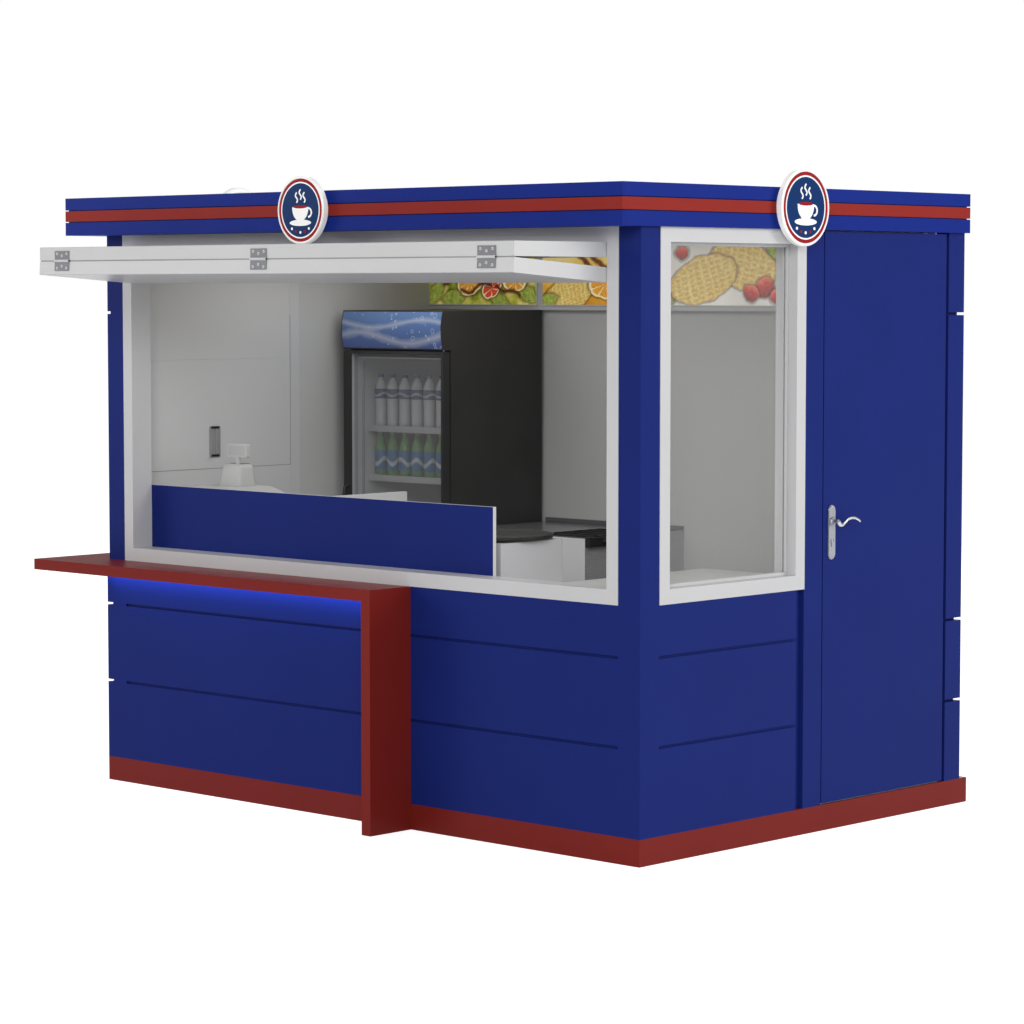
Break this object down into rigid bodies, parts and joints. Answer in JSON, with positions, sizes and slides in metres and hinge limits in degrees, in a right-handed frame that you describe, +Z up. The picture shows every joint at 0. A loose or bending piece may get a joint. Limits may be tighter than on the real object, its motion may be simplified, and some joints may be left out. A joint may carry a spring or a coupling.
{
  "type": "street food kiosk",
  "caption": "Walk-in street kiosk with a wide service window, folded-up shutter, wrap-round counter, hinged door and a glass-door fridge inside.",
  "frame": {"origin": "on the ground under the middle of the wall footprint", "axes": "+X towards the door side, -Y towards the customer (service window), +Z up"},
  "size_m": [3.274, 2.5225, 2.537],
  "materials": {
    "floor_grey": "satin floor covering",
    "red_panel": "satin paint",
    "blue_panel": "satin paint on boarded sheet",
    "roof_grey": "matt coating",
    "white_frame": "satin white coating",
    "window_glass": "clear float glass",
    "white_shutter": "smooth white faces",
    "steel": "brushed",
    "blue_board": "satin paint, white edges",
    "red_board": "satin paint",
    "light_strip": "diffusing cover",
    "menu_panel": "printed light-box film",
    "black_metal": "fine-textured black",
    "header_panel": "printed light-box film",
    "shelf_grey": "white coated wire",
    "bottle_glass": "tinted glass with labels",
    "laminate": "satin laminate",
    "iron_plate": "seasoned plate",
    "white_plastic": "moulded, slight gloss"
  },
  "bodies": {
    "kiosk": {"base_floor": "floor_grey", "plinth_boards": "red_panel", "corner_posts": "blue_panel", "door_post": "blue_panel", "front_wall": "blue_panel", "right_wall": "blue_panel", "left_wall": "blue_panel", "back_wall": "blue_panel", "roof_panel": "roof_grey", "fascia_bands": "blue_panel", "fascia_stripe": "red_panel", "window_sills": "white_frame", "window_heads": "white_frame", "window_jambs": "white_frame", "side_window_glass": "window_glass", "shutter_upper_leaf": "white_shutter", "shutter_lower_leaf": "white_shutter", "shutter_hinges": "steel", "side_hatch": "white_shutter", "guard_boards": "blue_board", "counter_top": "red_board", "counter_legs": "red_board", "counter_light": "light_strip", "door_stops": "white_frame", "menu_light_box": "menu_panel", "fridge_cabinet": "black_metal", "fridge_header": "header_panel", "fridge_shelves": "shelf_grey", "bottles": "bottle_glass", "front_cabinet": "laminate", "side_worktop": "laminate", "back_counter": "laminate", "crepe_maker": "laminate", "crepe_plate": "iron_plate", "till_stand": "laminate", "till": "white_plastic", "griddle": "iron_plate", "round_signs": "white_plastic"},
    "door": {"door_leaf": "blue_panel", "door_pivots": "steel", "handle_plates": "steel"},
    "handle": {"door_lever": "steel"},
    "fridge_door": {"fridge_door": "black_metal", "fridge_door_pins": "steel", "fridge_glass": "window_glass"}
  },
  "joints": [
    {"name": "door_hinge", "type": "hinge", "parent": "kiosk", "child": "door", "pos_m": [1.468, 0.831, 1.2055], "axis": [0, 0, 1], "range_deg": [0, 100]},
    {"name": "handle_turn", "type": "hinge", "parent": "door", "child": "handle", "pos_m": [1.4775, 0.124, 1.197], "axis": [-1, 0, 0], "range_deg": [0, 40], "stiffness_Nm_per_rad": 0.6, "springref_deg": -20.05},
    {"name": "fridge_door_hinge", "type": "hinge", "parent": "kiosk", "child": "fridge_door", "pos_m": [-0.714, 0.25, 1], "axis": [0, 0, 1], "range_deg": [0, 90]}
  ]
}
